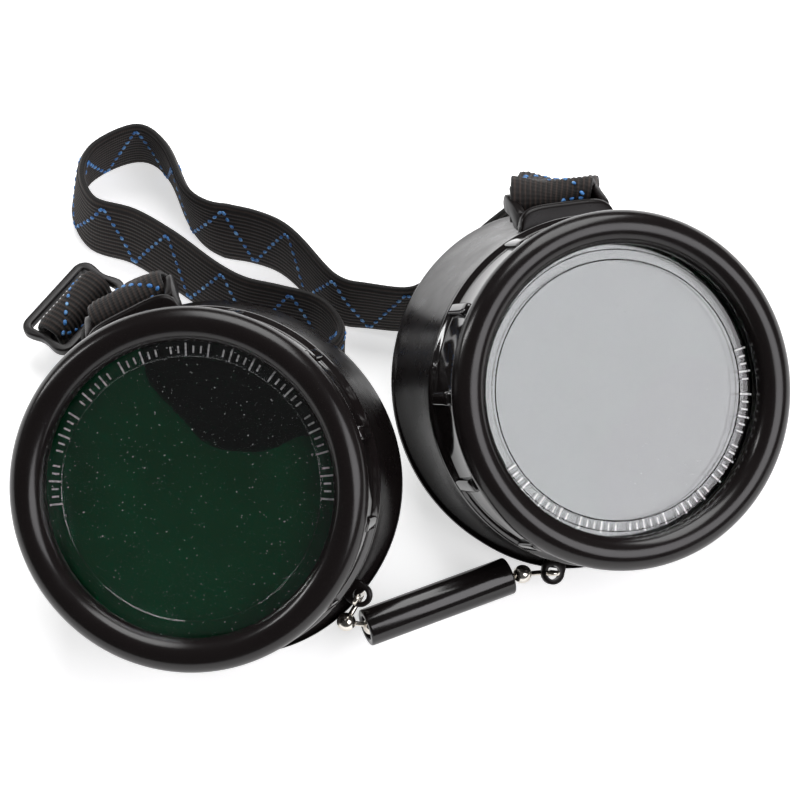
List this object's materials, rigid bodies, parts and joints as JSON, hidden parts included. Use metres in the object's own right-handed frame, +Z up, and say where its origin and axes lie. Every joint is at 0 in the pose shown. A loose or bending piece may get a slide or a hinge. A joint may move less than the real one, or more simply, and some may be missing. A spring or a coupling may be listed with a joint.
{
  "type": "welding goggles",
  "caption": "Round-eyecup welding goggles with screw-on retaining rings, a dark filter pack behind clear cover glasses, a sleeved chain nose bridge and an elastic head strap.",
  "frame": {"origin": "on the surface that the goggles lie on, under the middle of the bounding box", "axes": "+Z up; +X from the left eyecup towards the right one; +Y from the nose bridge towards the head strap"},
  "size_m": [0.123, 0.1047, 0.048],
  "materials": {
    "cup_plastic": "glossy moulded black plastic",
    "ring_plastic": "satin moulded black plastic",
    "slider_plastic": "satin black",
    "clear_glass": "polished clear",
    "filter_glass": "polished dark green",
    "fibre": "matt fibre board",
    "nickel": "nickel plate",
    "vinyl": "semi-gloss vinyl tube",
    "elastic": "ribbed woven elastic"
  },
  "bodies": {
    "bridge": {"nose_sleeve": "vinyl", "bead_chain": "nickel", "left_chain_link": "nickel", "right_chain_link": "nickel", "head_strap": "elastic"},
    "left_cup": {"left_eyecup": "cup_plastic", "left_seat_gasket": "fibre", "left_strap_loop": "elastic"},
    "left_lens_pack": {"left_cover_lens": "clear_glass", "left_spacer_ring": "fibre", "left_filter_lens": "filter_glass"},
    "left_ring": {"left_retaining_ring": "ring_plastic"},
    "right_cup": {"right_eyecup": "cup_plastic", "right_seat_gasket": "fibre", "right_strap_loop": "elastic"},
    "right_lens_pack": {"right_cover_lens": "clear_glass", "right_spacer_ring": "fibre", "right_filter_lens": "filter_glass"},
    "right_ring": {"right_retaining_ring": "ring_plastic"},
    "slider": {"strap_slider": "slider_plastic", "slider_strap_loop": "elastic"}
  },
  "joints": [
    {"name": "left_cup_swivel", "type": "hinge", "parent": "bridge", "child": "left_cup", "pos_m": [-0.0058, -0.03725, 0.01349], "axis": [0, 0, 1], "range_deg": [0, 12]},
    {"name": "right_cup_swivel", "type": "hinge", "parent": "bridge", "child": "right_cup", "pos_m": [0.02441, -0.02938, 0.00577], "axis": [0, 0, 1], "range_deg": [-25, 0]},
    {"name": "left_pack_slide", "type": "slide", "parent": "left_cup", "child": "left_lens_pack", "axis": [-0.1728, -0.5318, 0.829], "range_m": [0, 0.0041]},
    {"name": "left_ring_turn", "type": "hinge", "parent": "left_lens_pack", "child": "left_ring", "pos_m": [-0.03235, -0.0298, 0.03348], "axis": [-0.1728, -0.5318, 0.829], "range_deg": [0, 720]},
    {"name": "right_pack_slide", "type": "slide", "parent": "right_cup", "child": "right_lens_pack", "axis": [0.3085, -0.475, 0.8241], "range_m": [0, 0.0041]},
    {"name": "right_ring_turn", "type": "hinge", "parent": "right_lens_pack", "child": "right_ring", "pos_m": [0.03565, -0.0117, 0.03263], "axis": [0.3085, -0.475, 0.8241], "range_deg": [0, 720]},
    {"name": "slider_slide", "type": "slide", "parent": "left_cup", "child": "slider", "axis": [-0.7994, 0.5844, -0.1392], "range_m": [0, 0.008], "deforming": ["left_strap_loop"]}
  ],
  "couplings": [
    {"joint": "left_pack_slide", "follows": "left_ring_turn", "m_per_rad": 0.00031831},
    {"joint": "right_pack_slide", "follows": "right_ring_turn", "m_per_rad": 0.00031831}
  ]
}
